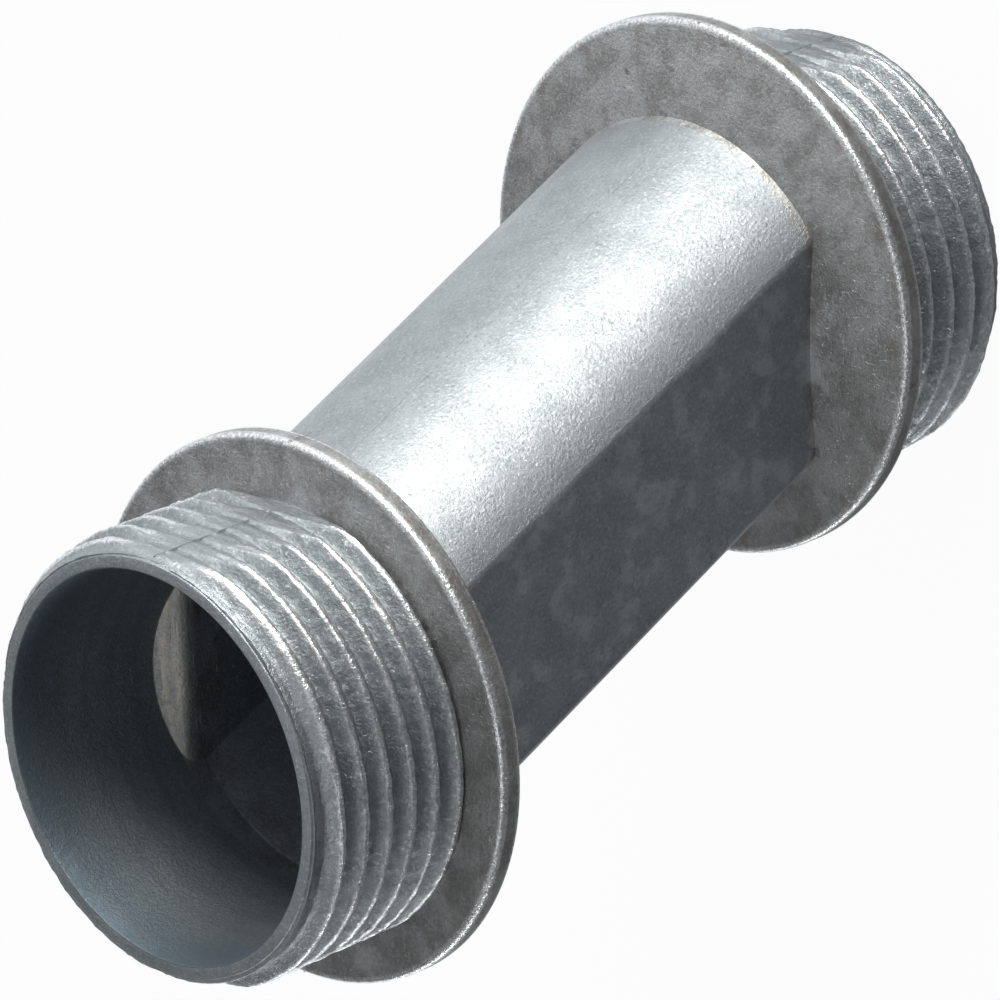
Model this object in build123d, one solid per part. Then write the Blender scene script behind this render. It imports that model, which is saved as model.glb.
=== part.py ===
from build123d import *
import os

# Offset nipple: one die-cast zinc fitting that joins two boxes whose knockouts don't line up.
# Two short threaded tubes lie on parallel axes. Each ends in a round collar, and a slanted,
# flat-sided tube joins the two collars. It is one casting, so it is one solid.
#
# Frame: millimetres, +Z up. The lower thread stands on its end face, with the origin at that
# face's centre. The upper thread's axis lies `offset` away along +X. The die parts along the
# plane Y = 0, and the fitting is the same after half a turn about the Y direction at mid-height.

# The two threaded ends
offset = 19.6            # from the lower thread's axis to the upper one
thread_radius = 16.15    # over the crests
thread_length = 13.25    # end face to collar
parting_flat = 15.05     # from the axis to the flats that the die leaves along the thread
lead_depth = 1.3         # the thread's start: how far it is turned down
lead_length = 2.4        # and over what length
end_chamfer = 0.15       # both edges of the end face

# The collars, which stop against the boxes
collar_radius = 19.6
collar_thickness = 1.8   # at the rim
collar_rise = 1.4        # how much the collar thickens from its rim to the slanted tube
collar_chamfer = 0.3     # both edges of the rim

# The slanted tube between the collars
body_length = 38.8       # rim of one collar to rim of the other, along the thread axis
body_radius = 14.3       # its two round sides
body_flat = 11.8         # from the parting plane to each flat side
body_drift = 1.05        # how far its centre line starts inside the thread's axis
body_wall = 1.35
body_edge = 0.35         # rounding between round and flat
root_fillet = 0.3        # where it meets the collars

# The bores
mouth_radius = 13.8      # at the end face
inner_radius = 13.3      # the bore narrows down to this, as its core needs draft
bore_depth = 13.0        # end face to the shoulder where the slanted passage starts
ring_depth = 2.2         # a faint ring round the bore, this far in
ring_step = 0.08         # and how much wider the bore is in front of it

# Heights along Z
lower_joint = thread_length + collar_thickness
upper_joint = lower_joint + body_length
total_height = lower_joint + upper_joint
slope = (offset - 2 * body_drift) / body_length

overrun = 1.0            # how far a cutting shape runs past the face it opens


def centre_x(z):
    """The slanted tube's centre line at height z."""
    return body_drift + slope * (z - lower_joint)


def body_section(inset=0.0):
    """The slanted tube's level section, or that of its passage when inset by the wall."""
    radius, half_width = body_radius - inset, body_flat - inset
    section = Circle(radius) & Rectangle(2 * radius, 2 * half_width)
    return fillet(section.vertices(), body_edge)


def slanted(section, z0, z1):
    """The section carried along the slanted centre line from height z0 to z1."""
    way = Vector(slope, 0, 1)
    return extrude(Pos(centre_x(z0), 0, z0) * section, amount=(z1 - z0) * way.length, dir=way.normalized())


def profile(*points):
    """A closed half-section from (radius, height) points."""
    return make_face(Polyline(*points, close=True))


def turned(section):
    """A half-section turned about the thread's axis."""
    return revolve(Plane.XZ * section, Axis.Z)


def threaded_end():
    """The lower thread's blank: a turned tube end with a lead, and a flat on each side of the parting plane."""
    lead_radius = thread_radius - lead_depth
    blank = turned(profile(
        (0, 0),
        (lead_radius - end_chamfer, 0),
        (lead_radius, end_chamfer),
        (thread_radius, lead_length),
        (thread_radius, thread_length),
        (0, thread_length),
    ))
    return blank & extrude(Rectangle(2 * parting_flat, 2 * thread_radius), amount=thread_length)


def collar():
    """The lower collar: flat where it meets the box, coned on the side of the slanted tube."""
    section = profile(
        (0, thread_length),
        (collar_radius, thread_length),
        (collar_radius, lower_joint),
        (body_flat, lower_joint + collar_rise),
        (0, lower_joint + collar_rise),
    )
    rim = section.vertices().group_by(Axis.X)[-1]
    return turned(chamfer(rim, collar_chamfer))


def bore():
    """What the lower core leaves open: a tapering bore with a faint ring and a flat shoulder."""
    taper = (mouth_radius - inner_radius) / bore_depth
    ring_radius = mouth_radius - taper * ring_depth
    mouth = mouth_radius + ring_step
    return turned(profile(
        (0, -overrun),
        (mouth + end_chamfer + overrun, -overrun),
        (mouth, end_chamfer),
        (ring_radius + ring_step, ring_depth),
        (ring_radius, ring_depth),
        (inner_radius, bore_depth),
        (0, bore_depth),
    ))


def other_end(shape):
    """The same shape on the upper end: half a turn about the Y direction at mid-height."""
    return Pos(offset, 0, total_height) * Rot(0, 180, 0) * shape


def tube_roots(solid):
    """The curved edges where the slanted tube meets the two collars' cones."""
    curved = solid.edges().filter_by(GeomType.LINE, reverse=True)
    lower = curved.filter_by_position(Axis.Z, lower_joint, lower_joint + collar_rise, inclusive=(False, False))
    upper = curved.filter_by_position(Axis.Z, upper_joint - collar_rise, upper_joint, inclusive=(False, False))
    return lower + upper


def casting():
    """The whole fitting."""
    end = threaded_end() + collar()
    tube = slanted(body_section(), lower_joint, upper_joint)
    solid = end + other_end(end) + tube
    solid = fillet(tube_roots(solid), root_fillet)
    passage = slanted(body_section(body_wall), bore_depth, total_height - bore_depth)
    return solid - bore() - other_end(bore()) - passage


nipple_casting = casting()
os.makedirs("parts", exist_ok=True)
export_step(nipple_casting, "parts/nipple_casting.step")
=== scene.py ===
# %% [markdown]
# This lesson dresses one small casting: a zinc fitting that joins two electrical boxes whose holes
# don't line up. It has two short threaded tubes, two round collars and a slanted tube between them.
# The script loads the CAD model of it from model.glb, in metres and in its own place, so nothing has
# to be fitted by eye. The scene works in millimetres and turns them to metres with one factor.

from math import cos, pi, radians, sin

import bpy
from mathutils import Matrix, Vector


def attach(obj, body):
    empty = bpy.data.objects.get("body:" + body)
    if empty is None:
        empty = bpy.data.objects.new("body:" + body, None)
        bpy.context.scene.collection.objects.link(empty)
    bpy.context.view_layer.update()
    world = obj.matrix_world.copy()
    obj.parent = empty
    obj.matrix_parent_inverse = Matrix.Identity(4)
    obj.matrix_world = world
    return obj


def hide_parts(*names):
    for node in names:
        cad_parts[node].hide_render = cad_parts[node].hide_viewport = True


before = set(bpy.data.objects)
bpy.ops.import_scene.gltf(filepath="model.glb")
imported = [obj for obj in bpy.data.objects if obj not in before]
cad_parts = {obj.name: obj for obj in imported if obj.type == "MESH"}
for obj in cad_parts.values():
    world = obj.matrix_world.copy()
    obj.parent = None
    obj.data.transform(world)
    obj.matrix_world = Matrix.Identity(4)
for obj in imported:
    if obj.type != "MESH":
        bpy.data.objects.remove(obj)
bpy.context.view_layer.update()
MM = 0.001

# %% [markdown]
# These are the casting's sizes. They are the same as in the CAD source. The lower thread stands on
# its end face with the origin at that face's centre, and the upper thread's axis lies 19.6 mm away
# along X. The die parted along the plane Y = 0, so flats and seam lines are on that plane.

# %% The sizes
OFFSET = 19.6
HEIGHT = 68.9
THREAD_END = 13.25       # end face to collar
COLLAR_TOP = 15.05       # the rim's other edge
CAD_COLLAR_RADIUS = 19.6
COLLAR_RADIUS = 19.57    # a little less, so that the seam on the rim stays inside the CAD box
RIM_SEAM_RADIUS = 19.588
COLLAR_RISE = 1.4        # how much the collar's cone rises from the rim to the tube
THREAD_CREST = 16.13
THREAD_ROOT = 15.0
THREAD_FLAT = 15.05      # from the axis to the flats on the parting line
PITCH = 2.209            # eleven and a half threads to the inch
CREST_DEPTH = 1.2575     # from the end face to the first crest, on the side away from the offset
TUBE_RADIUS = 14.3
TUBE_FLAT = 11.8         # from the parting plane to each flat side
TUBE_EDGE = 0.3          # the rounding between round and flat
TUBE_DRIFT = 1.05        # how far its centre line starts inside the thread's axis
SIDES = 192              # of every round shape
SLOPE = (OFFSET - 2 * TUBE_DRIFT) / (HEIGHT - 2 * COLLAR_TOP)
print("the tube leans", round(SLOPE, 4), "mm for each mm of height")

# %% [markdown]
# A turned shape is drawn as on a lathe. A disc is added, its face is pulled along the axis, and
# each new ring is scaled to the next radius of the outline. Blender keeps the first face when it
# pulls a lone disc, so the shape stays closed. All objects are deselected first, because an
# operator acts on everything that is selected.

# %% A lathe for closed round shapes
def turn(name, outline):
    """A closed solid from (radius, height) points in mm, from its first end to its last."""
    bpy.ops.object.select_all(action="DESELECT")
    radius, height = outline[0]
    bpy.ops.mesh.primitive_circle_add(
        vertices=SIDES, radius=radius * MM, fill_type="NGON", location=(0, 0, height * MM))
    bpy.ops.object.transform_apply()
    bpy.ops.object.mode_set(mode="EDIT")
    for next_radius, next_height in outline[1:]:
        rise = (0, 0, (next_height - height) * MM)
        bpy.ops.mesh.extrude_region_move(TRANSFORM_OT_translate={"value": rise})
        share = next_radius / radius
        centre = (0, 0, next_height * MM)
        bpy.ops.transform.resize(value=(share, share, 1), center_override=centre)
        radius, height = next_radius, next_height
    bpy.ops.mesh.select_all(action="SELECT")
    bpy.ops.mesh.normals_make_consistent(inside=False)
    bpy.ops.object.mode_set(mode="OBJECT")
    bpy.context.object.name = name
    return bpy.context.object


def arc(radius, height, size, start, end, steps=4):
    """Points on a quarter round about (radius, height), from one angle to another."""
    angles = [radians(start + (end - start) * i / steps) for i in range(steps + 1)]
    return [(radius + size * cos(a), height + size * sin(a)) for a in angles]


# %% [markdown]
# The lower end is a tube and a collar. They could be two cylinders joined by a boolean, but one
# turned outline also gives the small rounding between them. The collar's rim is round, as die
# casting leaves it and as handling wears it. Its thread side is flat, and its other side is a low
# cone.

# %% The lower end without its thread
RIM = 0.4
cone_end = 11.0
cone_slope = COLLAR_RISE / (CAD_COLLAR_RADIUS - TUBE_FLAT)
cone_height = COLLAR_TOP + cone_slope * (CAD_COLLAR_RADIUS - cone_end)
end_outline = [(14.62, 0.0), (14.76, 0.05), (14.86, 0.2), (THREAD_ROOT, 0.45)]
end_outline += [(THREAD_ROOT, THREAD_END - 0.35), (THREAD_ROOT + 0.1, THREAD_END - 0.1)]
end_outline += [(THREAD_ROOT + 0.35, THREAD_END)]
end_outline += arc(COLLAR_RADIUS - RIM, THREAD_END + RIM, RIM, -90, 0)
end_outline += arc(COLLAR_RADIUS - RIM, COLLAR_TOP - RIM, RIM, 0, 80)
end_outline += [(cone_end, cone_height)]
lower_end = turn("lower_end", end_outline)
print("lower end", len(lower_end.data.polygons), "faces")

# %% [markdown]
# The thread is a helical ridge. It could be cut out of a thick tube, as a lathe does, but the die
# forms it as metal that stands up from the tube, so it is added here. One tooth's section is drawn
# by pulling a single corner round its outline. The Screw modifier then carries it round the axis,
# rising one pitch for each turn. The ridge starts below the end face and ends inside the collar,
# and a plain disc of the right length trims it.

# %% A closed outline drawn corner by corner
def draw(name, corners):
    """A flat face in the plane Y = 0 from (x, z) corners in mm."""
    places = [Vector((x * MM, 0, z * MM)) for x, z in corners]
    bpy.ops.object.select_all(action="DESELECT")
    bpy.ops.mesh.primitive_plane_add(size=MM, location=places[0])
    bpy.ops.object.transform_apply()
    bpy.ops.object.mode_set(mode="EDIT")
    bpy.ops.mesh.merge(type="CENTER")
    for here, there in zip(places, places[1:]):
        bpy.ops.mesh.extrude_region_move(TRANSFORM_OT_translate={"value": there - here})
    bpy.ops.mesh.select_all(action="SELECT")
    bpy.ops.mesh.edge_face_add()
    bpy.ops.object.mode_set(mode="OBJECT")
    bpy.context.object.name = name
    return bpy.context.object


# %% [markdown]
# Solids are added, cut and trimmed with the Boolean modifier. The second solid is deleted after
# each use, so only the casting is left at the end.

# %% One boolean step
def combine(first, second, operation):
    """Adds, cuts or trims the first solid by the second."""
    bpy.ops.object.select_all(action="DESELECT")
    bpy.context.view_layer.objects.active = first
    first.select_set(True)
    bpy.ops.object.modifier_add(type="BOOLEAN")
    step = first.modifiers[-1]
    step.operation = operation
    step.solver = "MANIFOLD"
    step.object = second
    bpy.ops.object.modifier_apply(modifier=step.name)
    if first.modifiers:
        raise RuntimeError("the solids " + first.name + " and " + second.name + " aren't both closed")
    bpy.data.objects.remove(second)
    return first


# %% The ridge
FIRST_CREST = CREST_DEPTH - PITCH    # the ridge starts one turn below the end face
TURNS = 7
STEPS = 280                          # of the ridge, for each turn
# Each corner is a radius and half the tooth's width there.
half_tooth = [(14.6, 1.05), (14.93, 1.02), (15.03, 0.9), (15.16, 0.76), (15.4, 0.62), (15.7, 0.45),
              (15.95, 0.3), (16.07, 0.2), (THREAD_CREST, 0.08)]
tooth = [(r, FIRST_CREST - w) for r, w in half_tooth]
tooth += [(r, FIRST_CREST + w) for r, w in reversed(half_tooth)]
ridge = draw("ridge", tooth)
bpy.ops.object.modifier_add(type="SCREW")
screw = ridge.modifiers[-1]
screw.steps = screw.render_steps = STEPS
screw.iterations = TURNS
screw.screw_offset = PITCH * MM
screw.use_smooth_shade = False
bpy.ops.object.modifier_apply(modifier=screw.name)
bpy.ops.object.mode_set(mode="EDIT")
bpy.ops.mesh.select_all(action="SELECT")
bpy.ops.mesh.remove_doubles(threshold=0.001 * MM)
bpy.ops.mesh.fill_holes(sides=0)
bpy.ops.mesh.select_all(action="SELECT")
bpy.ops.mesh.normals_make_consistent(inside=False)
bpy.ops.object.mode_set(mode="OBJECT")
combine(ridge, turn("trim", [(17, 0.12), (17, 14.2)]), "INTERSECT")
print("ridge", len(ridge.data.polygons), "faces")

# %% [markdown]
# On the real casting the ridge fades in two places: at the end face, where the thread has a lead,
# and on the two flats that the die leaves along its parting line. A boolean would cut it off with a
# hard edge, so each point is moved instead: the ridge is lower near the end face, and it is eased
# back to the flats. The crests are not even either: the die was worn and the zinc has been handled.
# A Displace modifier with a cloud texture of about half a millimetre moves the surface a little.

# %% The ridge's fading ends and uneven crests
def eased(value, limit, softness):
    """The smaller of two numbers, with a rounded change from one to the other."""
    share = min(1.0, max(0.0, 0.5 + 0.5 * (limit - value) / softness))
    return limit * (1 - share) + value * share - softness * share * (1 - share)


RIDGE_FOOT = 14.95       # just under the blank's surface
for point in ridge.data.vertices:
    x, y, z = point.co / MM
    radius = (x * x + y * y) ** 0.5
    if radius > RIDGE_FOOT:
        share = min(1.0, 0.08 + 0.5 * max(0.0, z))      # it is whole from 1.8 mm on
        faded = RIDGE_FOOT + (radius - RIDGE_FOOT) * share
        flat = (THREAD_FLAT + 0.06) * radius / max(abs(x), 0.01)
        kept = eased(min(radius, faded), flat, softness=0.25)
        point.co.x *= kept / radius
        point.co.y *= kept / radius
cast_grain = bpy.data.textures.new("cast_grain", "CLOUDS")
cast_grain.noise_scale = 0.55 * MM
cast_grain.noise_depth = 2
bpy.ops.object.modifier_add(type="DISPLACE")
wear = ridge.modifiers[-1]
wear.texture = cast_grain
wear.texture_coords = "LOCAL"
wear.strength = 0.2 * MM
wear.mid_level = 0.62
bpy.ops.object.modifier_apply(modifier=wear.name)
reach = max(Vector((point.co.x, point.co.y)).length for point in ridge.data.vertices) / MM
print("the ridge reaches", round(reach, 2), "mm from the axis")

# %% The ridge joined to the blank
combine(lower_end, ridge, "UNION")
print("lower end with its thread", len(lower_end.data.polygons), "faces")

# %% [markdown]
# Where the two halves of the die met, a hair of metal stands up. It is a thin plate on the plane
# Y = 0 that reaches a few hundredths of a millimetre past the flats, and past the collar's rim. Its
# upright edges are bevelled, so that it catches the light softly.

# %% The seam on the thread and the rim
SEAM = 0.14              # half of the seam's thickness


def plate(name, half_length, half_width, bottom, top):
    """A thin upright plate across the lower thread's axis, in mm."""
    bpy.ops.object.select_all(action="DESELECT")
    bpy.ops.mesh.primitive_cube_add(
        size=1, location=(0, 0, (bottom + top) / 2 * MM),
        scale=(2 * half_length * MM, 2 * half_width * MM, (top - bottom) * MM))
    bpy.ops.object.transform_apply()
    sheet = bpy.context.object
    sheet.name = name
    bpy.ops.object.mode_set(mode="EDIT")
    bpy.ops.mesh.select_mode(type="EDGE")
    bpy.ops.mesh.select_all(action="DESELECT")
    bpy.ops.object.mode_set(mode="OBJECT")
    for edge in sheet.data.edges:
        one, two = (sheet.data.vertices[i].co for i in edge.vertices)
        edge.select = abs(one.z - two.z) > MM
    bpy.ops.object.mode_set(mode="EDIT")
    bpy.ops.mesh.bevel(offset=0.9 * half_width * MM, segments=1)
    bpy.ops.object.mode_set(mode="OBJECT")
    return sheet


combine(lower_end, plate("thread_seam", THREAD_FLAT + 0.08, SEAM, 0.6, THREAD_END + 0.1), "UNION")
combine(lower_end, plate("rim_seam", RIM_SEAM_RADIUS, 0.3, THREAD_END + 0.2, COLLAR_TOP - 0.15), "UNION")
print("lower end with its seams", len(lower_end.data.polygons), "faces")

# %% [markdown]
# The upper end is the same casting detail after half a turn, so it is a copy of the lower one. The
# copy is turned about the Y direction and moved up, and its place is then applied to its mesh.

# %% The upper end
def turned_over(shape):
    """Half a turn about Y, which takes a shape from the lower end to the upper one."""
    bpy.ops.object.select_all(action="DESELECT")
    shape.select_set(True)
    bpy.context.view_layer.objects.active = shape
    shape.rotation_euler = (0, pi, 0)
    shape.location = (OFFSET * MM, 0, HEIGHT * MM)
    bpy.ops.object.transform_apply()
    return shape


upper_end = lower_end.copy()
upper_end.data = lower_end.data.copy()
bpy.context.collection.objects.link(upper_end)
upper_end.name = "upper_end"
turned_over(upper_end)
print("upper end", len(upper_end.data.polygons), "faces")

# %% [markdown]
# The tube's level section is a circle with two flat sides. A disc is cut by two planes, its four
# corners are rounded, and the face is pulled up and sideways at once, so that it leans. A straight
# bar could be sheared instead, but that operator needs a window, and this script has none. The cut
# needs a small threshold, because by default it snaps to points that are a tenth of a millimetre
# away, and here that would move the flats. The seam on the tube is a plate too, leaned by the same
# slope.

# %% The slanted tube
def leaning(name, radius, flat, edge, bottom, top):
    """A flat-sided round bar along the tube's slanted centre line, between two heights in mm."""
    bpy.ops.object.select_all(action="DESELECT")
    start = TUBE_DRIFT + SLOPE * (bottom - COLLAR_TOP)
    bpy.ops.mesh.primitive_circle_add(
        vertices=SIDES, radius=radius * MM, fill_type="NGON", location=(start * MM, 0, bottom * MM))
    bpy.ops.object.transform_apply()
    bpy.ops.object.mode_set(mode="EDIT")
    for side in (-1, 1):
        bpy.ops.mesh.select_all(action="SELECT")
        bpy.ops.mesh.bisect(plane_co=(0, side * flat * MM, 0), plane_no=(0, side, 0),
                            clear_outer=True, threshold=0.0001 * MM)
    bpy.ops.object.mode_set(mode="OBJECT")
    bar = bpy.context.object
    for corner in bar.data.vertices:
        corner.select = abs(abs(corner.co.y) - flat * MM) < 1e-6
    bpy.ops.object.mode_set(mode="EDIT")
    bpy.ops.mesh.select_mode(type="VERT")
    bpy.ops.mesh.bevel(offset=edge * MM, segments=4, affect="VERTICES")
    bpy.ops.mesh.select_all(action="SELECT")
    climb = (top - bottom) * MM
    bpy.ops.mesh.extrude_region_move(TRANSFORM_OT_translate={"value": (SLOPE * climb, 0, climb)})
    bpy.ops.mesh.select_all(action="SELECT")
    bpy.ops.mesh.normals_make_consistent(inside=False)
    bpy.ops.object.mode_set(mode="OBJECT")
    bar.name = name
    return bar


# Both ends of the tube lie inside the collars.
tube_bottom, tube_top = COLLAR_TOP + 0.3, HEIGHT - COLLAR_TOP - 0.3
tube = leaning("tube", TUBE_RADIUS, TUBE_FLAT, TUBE_EDGE, tube_bottom, tube_top)
combine(lower_end, upper_end, "UNION")
combine(lower_end, tube, "UNION")
seam = plate("tube_seam", TUBE_RADIUS + 0.05, SEAM, tube_bottom, tube_top)
for corner in seam.data.vertices:
    corner.co.x += (TUBE_DRIFT + SLOPE * (corner.co.z / MM - COLLAR_TOP)) * MM
combine(lower_end, seam, "UNION")
print("the solid casting", len(lower_end.data.polygons), "faces")

# %% [markdown]
# The bores are cut last. Each narrows towards its end, as the die's core needs draft, and has a
# faint ring near its mouth. On both flat sides of the tube the bore ends early, in a sloped and
# rounded ledge that the light from the mouth picks out. So the cutting shape is the round bore down
# to the ledges, and below them a well that the ledges' outline trims on both sides.

# %% A bore with its ledges
LEDGE_TOP = 12.1                     # depth of the ledges at the bore's wall
LEDGE_EDGE = 12.75                   # from the parting plane out to where a ledge's slope starts
BORE_END = 14.8                      # depth of the bore's round sides
RING_DEPTH, RING_RADIUS = 2.24, 13.76
BORE_FOOT = 12.6                     # the bore's radius at its end
PASSAGE_RADIUS = 13.25
PASSAGE_FLAT = 10.6                  # from the parting plane to the passage's flat sides


def bore_radius(at):
    """The bore's radius at a depth in mm."""
    return RING_RADIUS + (BORE_FOOT - RING_RADIUS) * (at - RING_DEPTH) / (BORE_END - RING_DEPTH)


def ledge_cutter():
    """A long bar along X whose section, seen from the side, is what the two ledges leave open."""
    slope = [(13.6, 11.0), (13.6, LEDGE_TOP - 0.2), (LEDGE_EDGE, LEDGE_TOP + 0.12)]
    slope += [(11.15, 13.0), (10.9, 13.2), (10.72, 13.55), (10.63, 13.95)]
    slope += [(PASSAGE_FLAT, 14.3), (PASSAGE_FLAT, 15.5)]
    bar = draw("ledges", slope + [(-x, z) for x, z in reversed(slope)])
    bpy.ops.object.mode_set(mode="EDIT")
    bpy.ops.mesh.select_all(action="SELECT")
    bpy.ops.mesh.extrude_region_move(TRANSFORM_OT_translate={"value": (0, 40 * MM, 0)})
    bpy.ops.mesh.select_all(action="SELECT")
    bpy.ops.mesh.normals_make_consistent(inside=False)
    bpy.ops.object.mode_set(mode="OBJECT")
    bar.rotation_euler = (0, 0, pi / 2)
    bar.location = (20 * MM, 0, 0)
    bpy.ops.object.transform_apply()
    return bar


def bore(name):
    """One bore with its two ledges, as a cutting shape on the lower thread's axis."""
    outline = [(14.9, -1.0), (13.95, 0.0), (13.88, 0.12), (13.79, 2.15), (RING_RADIUS, RING_DEPTH)]
    cutter = turn(name, outline + [(bore_radius(LEDGE_TOP - 0.2), LEDGE_TOP - 0.2)])
    start = LEDGE_TOP - 0.6
    well = turn("well", [(bore_radius(start) - 0.003, start), (BORE_FOOT, BORE_END)])
    combine(well, ledge_cutter(), "INTERSECT")
    return combine(cutter, well, "UNION")


# %% [markdown]
# The slanted passage joins the two bores. It is the same leaning bar as the tube, made smaller. The
# upper bore is the lower one after half a turn. At the end the whole casting is shaded smooth,
# except where two faces meet at more than 32 degrees.

# %% The passage and both bores
passage_start, passage_end = BORE_END - 0.2, HEIGHT - BORE_END + 0.2
passage = leaning("passage", PASSAGE_RADIUS, PASSAGE_FLAT, TUBE_EDGE, passage_start, passage_end)
combine(lower_end, passage, "DIFFERENCE")
combine(lower_end, bore("lower_bore"), "DIFFERENCE")
combine(lower_end, turned_over(bore("upper_bore")), "DIFFERENCE")
casting = lower_end
casting.name = "zinc_casting"
bpy.ops.object.select_all(action="DESELECT")
casting.select_set(True)
bpy.context.view_layer.objects.active = casting
bpy.ops.object.shade_smooth_by_angle(angle=radians(32))
print("the casting", len(casting.data.polygons), "faces")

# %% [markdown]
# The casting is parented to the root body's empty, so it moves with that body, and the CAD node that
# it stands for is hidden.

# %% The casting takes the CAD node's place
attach(casting, "root")
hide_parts("nipple_casting")

# %% [markdown]
# Materials are node trees. One function turns a colour as it is written on a screen into the linear
# numbers that a shader works with. Another adds a node to the tree at hand, with its settings and
# links. A few settings are used again and again, so they get short names.

# %% Two helpers, and short names for settings
def linear(colour):
    """A hex colour as four linear numbers."""
    parts = [int(colour[i:i + 2], 16) / 255 for i in (1, 3, 5)]
    return [p / 12.92 if p <= 0.04045 else ((p + 0.055) / 1.055) ** 2.4 for p in parts] + [1.0]


def node(kind, sockets=(), output=0, **settings):
    """Adds a node and gives one of its outputs. Its sockets are listed in order or by name, and
    each is a value or another node's output."""
    made = tree.nodes.new("ShaderNode" + kind)
    for name, value in settings.items():
        setattr(made, name, value)
    for socket, value in sockets.items() if isinstance(sockets, dict) else enumerate(sockets):
        if isinstance(value, bpy.types.NodeSocket):
            tree.links.new(value, made.inputs[socket])
        else:
            made.inputs[socket].default_value = value
    return made.outputs[output] if made.outputs else made


PLUS = {"operation": "ADD"}
MINUS = {"operation": "SUBTRACT"}
TIMES = {"operation": "MULTIPLY"}        # of two masks, it is where both are on
OVER = {"operation": "DIVIDE"}
POWER = {"operation": "POWER"}
ROOT = {"operation": "SQRT"}
SIZE = {"operation": "ABSOLUTE"}
LARGER = {"operation": "MAXIMUM"}
BELOW = {"operation": "LESS_THAN"}
ABOVE = {"operation": "GREATER_THAN"}
SOFT = {"interpolation_type": "SMOOTHSTEP"}
COLOUR = {"data_type": "RGBA", "output": 2}

# %% [markdown]
# The metal is zinc as it leaves the die, neither plated nor polished: a bluish satin grey with a
# roughness of about a half. Its skin is mottled where the melt chilled, it has darker spots of
# oxide, fine pits and short scratches, and it is brighter where crests and rims rub against other
# parts, which is also painted highlight. Painted glints fleck the ridges, painted shade lies between
# the ridges and inside the bores, and the pale ledges are partly painted light. A picture could be
# wrapped round it, but patterns that are worked out from the object's own coordinates, in
# millimetres, have no seams and stay sharp close by.
#
# Wear, stains and painted light and shade are in certain places only, so the material has to know
# where it is. The two ends are alike after half a turn, so each point gets the depth from its own
# end face and the radius from its own thread's axis. A mask is a number that is 1 in such a place
# and 0 elsewhere.

# %% Raw die-cast zinc: where a point lies
zinc = bpy.data.materials.new("raw_die_cast_zinc")
zinc.use_nodes = True
tree = zinc.node_tree
tree.nodes.clear()
place = node("TexCoord", output="Object")
millimetres = node("Mapping", {"Vector": place, "Scale": (1 / MM,) * 3})
upper_place = node("Mapping", {"Vector": millimetres, "Location": (-OFFSET, 0, -HEIGHT)})
low_x, low_y, low_z = node("SeparateXYZ", [millimetres]).node.outputs
high = node("SeparateXYZ", [upper_place]).node.outputs
is_upper = node("Math", (low_z, HEIGHT / 2), **ABOVE)
is_lower = node("Math", (1.0, is_upper), **MINUS)
lower_x = node("Math", (low_x, is_lower), **TIMES)
upper_x = node("Math", (high[0], is_upper), **TIMES)
side_x = node("Math", (lower_x, upper_x), **PLUS)
lower_depth = node("Math", (low_z, is_lower), **TIMES)
upper_depth = node("Math", (node("Math", (high[2], -1.0), **TIMES), is_upper), **TIMES)
depth = node("Math", (lower_depth, upper_depth), **PLUS)
square_x = node("Math", (side_x, 2.0), **POWER)
square_y = node("Math", (low_y, 2.0), **POWER)
radius = node("Math", [node("Math", (square_x, square_y), **PLUS)], **ROOT)
from_parting = node("Math", [low_y], **SIZE)
print("one end's depth and radius take", len(tree.nodes), "nodes")

# %% [markdown]
# The crests follow the helix. The angle round the axis, as a share of a turn, is taken from the
# depth in pitches, and what is left past the last whole number tells how far the crest is.

# %% Masks on the thread
on_thread = node("Math", (depth, THREAD_END), **BELOW)
mirror = node("Math", (is_lower, is_upper), **MINUS)
angle = node("Math", (low_y, node("Math", (side_x, mirror), **TIMES)), operation="ARCTAN2")
pitches = node("Math", (node("Math", (depth, CREST_DEPTH), **MINUS), PITCH), **OVER)
pitches = node("Math", (pitches, node("Math", (angle, 2 * pi), **OVER)), **MINUS)
part_turn = node("Math", [node("Math", (pitches, 0.5), **PLUS)], operation="FRACT")
part_turn = node("Math", (part_turn, 0.5), **MINUS)
from_crest = node("Math", (node("Math", [part_turn], **SIZE), PITCH), **TIMES)
on_ridge = node("Math", (node("MapRange", (radius, 15.2, 15.5), **SOFT), on_thread), **TIMES)
crest = node("Math", (node("MapRange", (from_crest, 0.32, 0.12), **SOFT), on_ridge), **TIMES)
root = node("Math", (node("MapRange", (from_crest, 0.6, 0.95), **SOFT), on_thread), **TIMES)

# %% Masks on the collars and the tube's flats
past_thread = node("Math", (depth, THREAD_END - 0.1), **BELOW)
on_collar = node("Math", (node("Math", (depth, COLLAR_TOP + 1.7), **BELOW), past_thread), **MINUS)
from_middle = node("Math", (depth, (THREAD_END + COLLAR_TOP) / 2), **MINUS)
from_middle = node("Math", [from_middle], **SIZE)
rim_edges = node("Math", (on_collar, node("MapRange", (from_middle, 0.3, 0.6), **SOFT)), **TIMES)
on_rim = node("Math", (node("MapRange", (radius, 18.95, 19.3), **SOFT), rim_edges), **TIMES)
collar_face = node("Math", (on_collar, on_rim), **MINUS)
near_rim = node("Math", (node("MapRange", (radius, 17.2, 19.0), **SOFT), collar_face), **TIMES)
past_collar = node("Math", (depth, COLLAR_TOP + 1.0), **ABOVE)
on_flat = node("Math", (node("Math", (from_parting, TUBE_FLAT - 0.1), **ABOVE), past_collar), **TIMES)

# %% [markdown]
# Inside, the passage is told from the bore by its distance from the tube's slanted centre line. A
# ledge is where the depth is more than that of its slope at this distance from the parting plane.

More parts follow.
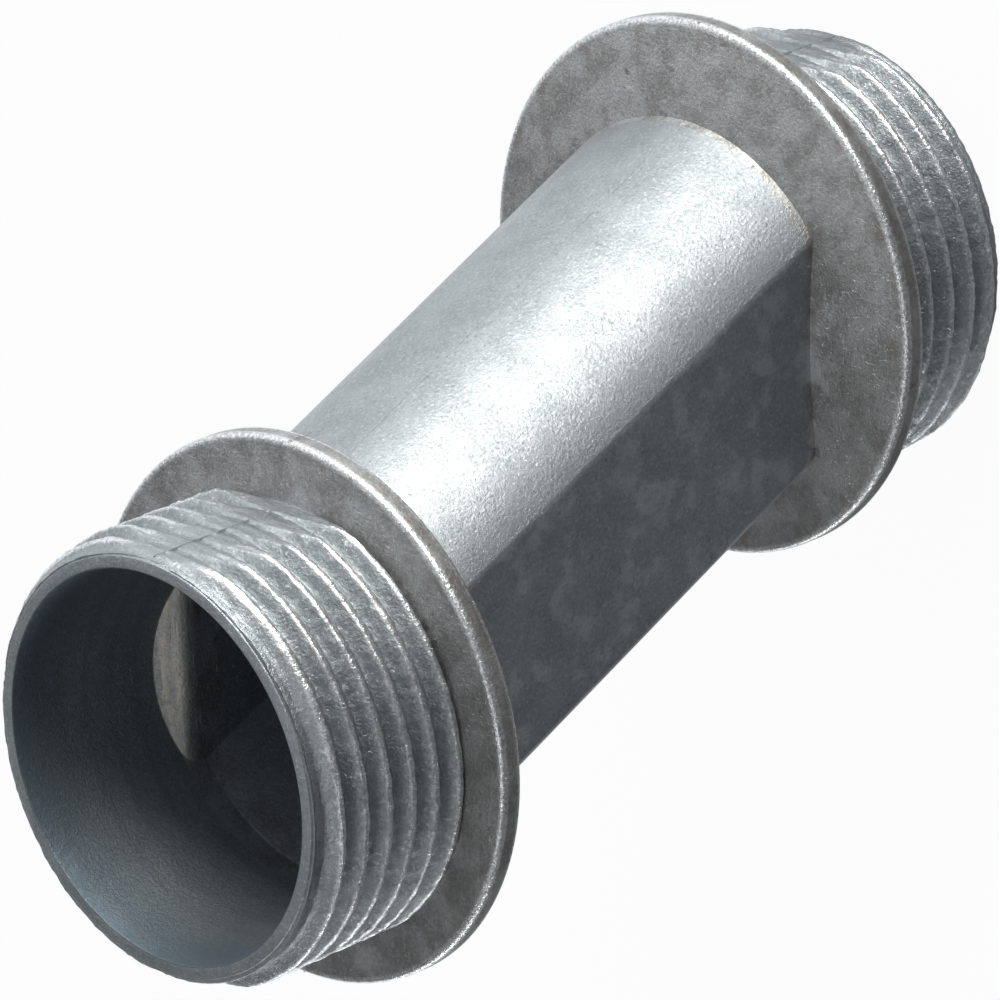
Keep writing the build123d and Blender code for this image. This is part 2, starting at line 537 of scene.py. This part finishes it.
# %% Masks inside
LEDGE_SLOPE = 0.473                  # how deep a ledge runs for each mm towards the middle
line_x = node("Math", (low_z, SLOPE), **TIMES)
line_x = node("Math", (line_x, TUBE_DRIFT - SLOPE * COLLAR_TOP), **PLUS)
leaning_x = node("Math", (low_x, line_x), **MINUS)
square_x = node("Math", (leaning_x, 2.0), **POWER)
from_line = node("Math", [node("Math", (square_x, square_y), **PLUS)], **ROOT)
in_width = node("Math", (from_parting, 11.2), **BELOW)
in_passage = node("Math", (node("Math", (from_line, 13.8), **BELOW), in_width), **TIMES)
past_bore = node("Math", (depth, COLLAR_TOP - 0.01), **ABOVE)
in_passage = node("Math", (in_passage, past_bore), **TIMES)
before_passage = node("Math", (depth, COLLAR_TOP), **BELOW)
in_bore = node("Math", (node("Math", (radius, 14.0), **BELOW), before_passage), **TIMES)
inside = node("Math", (in_bore, in_passage), **LARGER)
ledge_depth = node("Math", (node("Math", (LEDGE_EDGE, from_parting), **MINUS), LEDGE_SLOPE), **TIMES)
ledge_depth = node("Math", (ledge_depth, LEDGE_TOP + 0.02), **PLUS)
past_wall = node("Math", (from_parting, PASSAGE_FLAT + 0.02), **ABOVE)
on_ledge = node("Math", (node("Math", (ledge_depth, depth), **BELOW), past_wall), **TIMES)
before_end = node("Math", (in_bore, node("Math", (depth, 14.4), **BELOW)), **TIMES)
on_ledge = node("Math", (on_ledge, before_end), **TIMES)
print("the masks take", len(tree.nodes), "nodes")

# %% [markdown]
# The patterns are clouds of about four millimetres, spots of oxide of about one, speckle of a
# quarter, and two sets of short scratches, which are noise that is stretched one way. The speckle
# is coarser than the real grain, which would be too fine to show. A pattern's first number is how
# many of its spots lie in a millimetre.

# %% The patterns
def cloudy(scale, detail, roughness, stretch=(1, 1, 1), turn_by=(0, 0, 0)):
    """A cloudy pattern, which may be turned and stretched."""
    turned = node("Mapping", {
        "Vector": millimetres, "Rotation": [radians(a) for a in turn_by], "Scale": stretch})
    return node("TexNoise", {
        "Vector": turned, "Scale": scale, "Detail": detail, "Roughness": roughness}, output="Fac")


clouds = cloudy(0.28, 5.0, 0.62)
spots = node("MapRange", (cloudy(0.75, 4.0, 0.65, turn_by=(20, 40, 10)), 0.63, 0.69), **SOFT)
scratch_one = cloudy(1.0, 2.0, 0.6, (0.7, 9.0, 9.0), (10, 35, 25))
scratch_one = node("MapRange", (scratch_one, 0.64, 0.72), **SOFT)
scratch_two = cloudy(1.0, 2.0, 0.6, (9.0, 0.8, 9.0), (-30, 20, 60))
scratch_two = node("MapRange", (scratch_two, 0.65, 0.73), **SOFT)
speckle = cloudy(4.0, 4.0, 0.75)
patches = cloudy(0.4, 5.0, 0.65, turn_by=(0, 50, 20))
# Bright flecks on the ridges are painted glints.
painted_glints = node("MapRange", (cloudy(2.3, 3.0, 0.7, turn_by=(15, 15, 45)), 0.56, 0.66), **SOFT)
brown = node("MapRange", (cloudy(0.5, 4.0, 0.7, turn_by=(70, 10, 30)), 0.5, 0.68), **SOFT)
brown = node("Math", (near_rim, brown), **TIMES)
# Streaks on the ledges that fade towards both edges. With the pale ledge colour they are partly a beige
# tint and partly painted light, painted darker towards the edges.
ledge_light_and_streaks = node("MapRange", (cloudy(1.1, 4.0, 0.7, (0.35, 1.6, 1.6)), 0.35, 0.62, 0.5, 1.0), **SOFT)
ledge_light_and_streaks = node("Math", (ledge_light_and_streaks, node("MapRange", (from_parting, 12.7, 12.1, 0.3, 1.0), **SOFT)), **TIMES)
ledge_light_and_streaks = node("Math", (ledge_light_and_streaks, node("MapRange", (from_parting, 10.65, 11.05, 0.15, 1.0), **SOFT)), **TIMES)

# %% [markdown]
# Each layer of colour lies over those before it. Its share is the mask of where it lies, times a
# pattern or a strength that says how much of it shows there.

# %% The shares of the layers
dull_share = node("Math", (on_collar, 0.8), **TIMES)
spot_share = node("Math", (0.2, node("Math", (on_collar, 0.3), **TIMES)), **PLUS)
spot_share = node("Math", (spots, spot_share), **TIMES)
flat_share = node("Math", (on_flat, node("MapRange", (patches, 0.48, 0.66, 0.0, 0.55), **SOFT)), **TIMES)
painted_glint_share = node("Math", (painted_glints, node("Math", (on_ridge, 0.5), **TIMES)), **TIMES)
dark_speckle = node("MapRange", (speckle, 0.46, 0.3, 0.0, 0.6), **SOFT)
pale_speckle = node("MapRange", (speckle, 0.54, 0.7, 0.0, 0.6), **SOFT)
scratch_share = node("Math", (node("Math", (scratch_one, scratch_two), **LARGER), 0.16), **TIMES)
# Painted shade inside the bores and the passage, strongest near the mouth.
inside_painted_shade_share = node("Math", (inside, node("MapRange", (depth, 0.5, 7.0, 0.75, 0.32), **SOFT)), **TIMES)
brown_share = node("Math", (brown, 0.4), **TIMES)
# The ledges' pale colour is partly a tint and partly painted light.
ledge_tint_and_light_share = node("Math", (on_ledge, ledge_light_and_streaks), **TIMES)
# The darker tint between the ridges is painted shade.
root_painted_shade_share = node("Math", (root, 0.3), **TIMES)
# Crests and rims are painted brighter, partly for wear and partly as painted highlight.
wear_and_highlight = node("Math", (crest, on_rim), **LARGER)
wear_and_highlight_share = node("Math", (0.3, node("MapRange", (speckle, 0.42, 0.56, 0.0, 0.7), **SOFT)), **PLUS)
wear_and_highlight_share = node("Math", (wear_and_highlight, wear_and_highlight_share), **TIMES)

# %% The colours
clean = node("Mix", {0: node("MapRange", (clouds, 0.33, 0.67), **SOFT),
                     6: linear("#92989b"), 7: linear("#9fa4a7")}, **COLOUR)
dull = node("Mix", {0: node("MapRange", (patches, 0.33, 0.66), **SOFT),
                    6: linear("#888582"), 7: linear("#b0b0b0")}, **COLOUR)
layers = [
    (dull, dull_share),                        # the collars' duller and warmer skin
    (linear("#5c6164"), spot_share),           # oxide
    (linear("#c3c7c9"), flat_share),           # pale patches on the tube's flats
    (linear("#dde1e3"), painted_glint_share),          # painted glints on the ridges
    (linear("#656c70"), dark_speckle),
    (linear("#ccd1d4"), pale_speckle),
    (linear("#cdd3d6"), scratch_share),
    (linear("#51616d"), inside_painted_shade_share),         # painted shade inside, with a bluer tone, darkest near the mouth
    (linear("#7b6e60"), brown_share),          # brown stain near the rims
    (linear("#d2ccc2"), ledge_tint_and_light_share),          # the pale ledges: a beige tint and painted light
    (linear("#767d81"), root_painted_shade_share),           # painted shade between the ridges
    (linear("#e4e6e7"), wear_and_highlight_share),           # worn crests and rims, partly painted highlight
]
skin = clean
for layer, share in layers:
    skin = node("Mix", {0: share, 6: skin, 7: layer}, **COLOUR)
print("the skin has", len(layers), "layers of colour")

# %% [markdown]
# Worn metal is smoother, and oxide and the inside of the bores are duller.

# %% The gloss
gloss = node("MapRange", (clouds, 0.35, 0.65, 0.51, 0.47), **SOFT)
gloss = node("Math", (gloss, node("Math", (spots, 0.08), **TIMES)), **PLUS)
gloss = node("Math", (gloss, node("Math", (wear_and_highlight, 0.2), **TIMES)), **MINUS)
gloss = node("Math", (gloss, node("MapRange", (speckle, 0.4, 0.7, 0.04, -0.06), **SOFT)), **PLUS)
gloss = node("Math", (gloss, node("Math", (inside, 0.12), **TIMES)), **PLUS)

# %% [markdown]
# The fine relief is bump, because it is a few hundredths of a millimetre high: slow waves, an
# unevenness of about two thirds of a millimetre, a grain that is stronger on threads and collars,
# and the scratches cut into it. It is in millimetres, so the bump's distance is one millimetre.

# %% The fine relief
coarse = node("Math", (on_thread, on_collar), **LARGER)
uneven_height = node("Math", (0.014, node("Math", (coarse, 0.025), **TIMES)), **PLUS)
grain_height = node("Math", (0.045, node("Math", (coarse, 0.02), **TIMES)), **PLUS)
relief = node("Math", (cloudy(0.45, 2.0, 0.5), 0.012), **TIMES)
uneven = node("Math", (cloudy(1.5, 4.0, 0.6), uneven_height), **TIMES)
relief = node("Math", (relief, uneven), **PLUS)
grain = node("Math", (cloudy(4.5, 3.0, 0.7), grain_height), **TIMES)
relief = node("Math", (relief, grain), **PLUS)
for scratch in (scratch_one, scratch_two):
    relief = node("Math", (relief, node("Math", (scratch, 0.018), **TIMES)), **MINUS)
bump = node("Bump", {"Height": relief, "Strength": 1.0, "Distance": MM})
metal = node("BsdfPrincipled", {"Metallic": 1.0, "Base Color": skin, "Roughness": gloss, "Normal": bump})
node("OutputMaterial", {"Surface": metal})
casting.data.materials.clear()
casting.data.materials.append(zinc)
print("the zinc has", len(tree.nodes), "nodes")

# %% [markdown]
# The floor is a plain pale sheet. The camera sees it as nearly white, and it still takes the
# casting's soft shadow. In the metal it shows as a white sheet that is bright behind the casting and
# fades in front of it, as a studio's sweep does, so that the tube's flat side stays dark.

# %% The floor
bpy.ops.object.select_all(action="DESELECT")
bpy.ops.mesh.primitive_plane_add(size=3.0)
floor = bpy.context.object
floor.name = "pale_floor"
sheet = bpy.data.materials.new("pale_paper")
sheet.use_nodes = True
tree = sheet.node_tree
tree.nodes.clear()
paper = node("BsdfDiffuse", {"Color": linear("#b8b8b8")})
white = node("Emission", {"Color": (1, 1, 1, 1), "Strength": 1.0})
ray = node("LightPath").node.outputs
seen = node("Math", (ray["Is Camera Ray"], 0.96), **TIMES)
floor_place = node("TexCoord", output="Object")
towards_front = node(
    "VectorMath", (floor_place, (0.1, 1.0, 0)), output="Value", operation="DOT_PRODUCT")
fading = node("MapRange", (towards_front, -0.04, 0.03, 1.3, 0.17), **SOFT)
mirrored = node("Emission", {"Color": (0.95, 0.98, 1, 1), "Strength": fading})
reflected = node("Math", (ray["Is Glossy Ray"], ray["Is Transmission Ray"]), **PLUS)
share = node("Math", (reflected, 0.85), **TIMES)
plain = node("MixShader", (seen, paper, white))
mix = node("MixShader", (share, plain, mirrored))
node("OutputMaterial", {"Surface": mix})
floor.data.materials.append(sheet)
print("the floor is", round(floor.dimensions.x, 1), "m wide")

# %% [markdown]
# The world is a dim, slightly blue studio. It is lighter on the casting's -X side, which is up and to
# the left in the photograph, and gives the shaded metal something soft to reflect.

# %% The world
world = bpy.data.worlds.new("studio")
bpy.context.scene.world = world
world.use_nodes = True
tree = world.node_tree
tree.nodes.clear()
way = node("TexCoord", output="Object")
towards_light = node(
    "VectorMath", (way, (-0.85, -0.5, 0.1)), output="Value", operation="DOT_PRODUCT")
brightness = node("MapRange", (towards_light, -0.4, 0.9, 0.16, 0.7), **SOFT)
sky = node("Background", {"Color": (0.93, 0.97, 1.0, 1), "Strength": brightness})
node("OutputWorld", {"Surface": sky})

# %% [markdown]
# Left and right are the casting's own -X and +X sides here. A tall and narrow box on the left makes
# the long highlight on the tube. A wide and weak one beside it lights the round sides and the
# collars, and three small ones lift the threads, the far collar and the inside of the bore.

# %% The lamps
middle = Vector((OFFSET / 2, 0, HEIGHT / 2)) * MM


def softbox(name, direction, distance, width, height, power, colour=(1, 1, 1)):
    """A rectangular lamp that looks at the casting's middle from a direction."""
    bpy.ops.object.select_all(action="DESELECT")
    bpy.ops.object.light_add(type="AREA")
    lamp = bpy.context.object
    lamp.name = name
    lamp.data.shape = "RECTANGLE"
    lamp.data.size = width
    lamp.data.size_y = height
    lamp.data.energy = power
    lamp.data.color = colour
    towards = Vector(direction).normalized()
    lamp.location = middle + towards * distance
    lamp.rotation_euler = towards.to_track_quat("Z", "Y").to_euler()
    return lamp


softbox("left_box", (-1.0, 0.1, 0.03), 0.6, 0.2, 0.6, 8.0, (1.0, 0.97, 0.92))
softbox("left_wall", (-0.85, -0.45, 0.2), 0.9, 1.3, 0.9, 2.6)
softbox("back_box", (-0.25, -0.75, 0.55), 0.8, 0.5, 0.5, 0.6)
softbox("right_box", (1.0, 0.0, -0.05), 0.6, 0.3, 0.3, 1.6)
softbox("top_box", (0.35, 0.25, 1.0), 0.8, 0.4, 0.4, 0.95)

# %% [markdown]
# The camera is a long lens from above, fitted to the photograph. Its place, the way it looks and
# its upward direction are in the casting's own frame.

# %% The camera
camera_data = bpy.data.cameras.new("camera")
camera_data.sensor_width = 36
camera_data.lens = 271.86
camera = bpy.data.objects.new("camera", camera_data)
bpy.context.collection.objects.link(camera)
eye = Vector((-180.524, 338.609, 384.825)) * MM
forward = Vector((0.36485, -0.64794, -0.66862)).normalized()
up = Vector((-0.93097, -0.24346, -0.27208)).normalized()
right = forward.cross(up).normalized()
up = right.cross(forward)
stand = Matrix((right, up, -forward)).transposed().to_4x4()
stand.translation = eye
camera.matrix_world = stand
bpy.context.scene.camera = camera
bpy.context.scene.view_settings.view_transform = "Standard"
print("the camera stands", round((eye - middle).length, 3), "m from the casting's middle")
